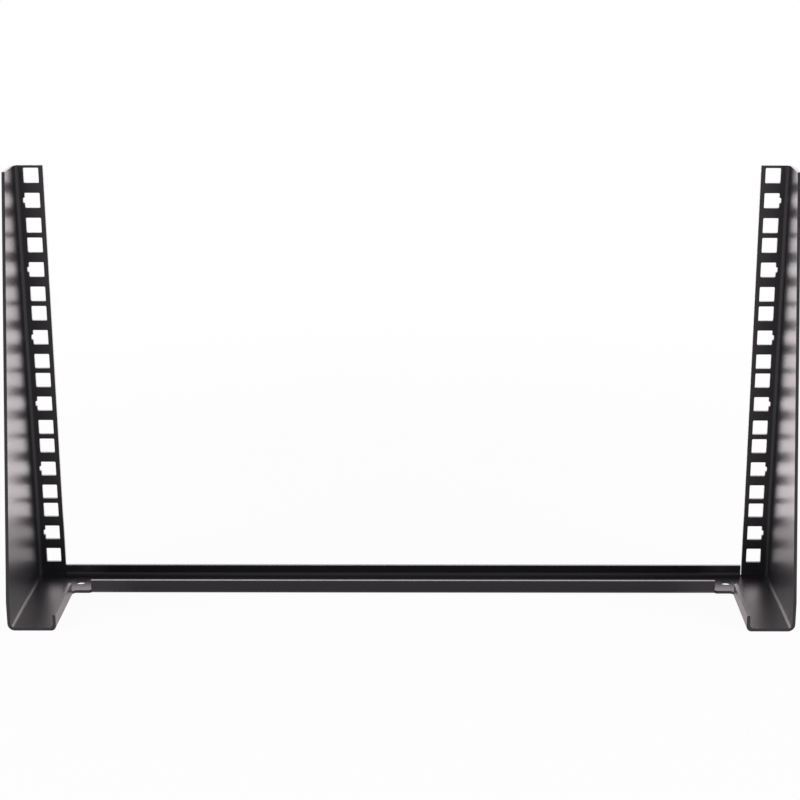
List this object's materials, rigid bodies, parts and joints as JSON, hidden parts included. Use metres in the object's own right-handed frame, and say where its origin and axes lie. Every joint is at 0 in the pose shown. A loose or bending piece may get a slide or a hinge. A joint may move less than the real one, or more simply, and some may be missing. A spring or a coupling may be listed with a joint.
{
  "type": "wall mount rack",
  "caption": "Open black steel rack frame for a wall: two tapered sides with square-hole rails, joined by a shallow channel base with folded lips and screw holes.",
  "frame": {"origin": "middle of the footprint at the underside of the base, which is the face that goes against the wall", "axes": "+X across the rack to the right as pictured, +Y from the open side to the rails, +Z out from the base along the rails"},
  "size_m": [0.4896, 0.09, 0.2769],
  "materials": {
    "powder_coated_steel": "satin black powder coat"
  },
  "bodies": {
    "root": {"rack_frame": "powder_coated_steel"}
  },
  "joints": []
}
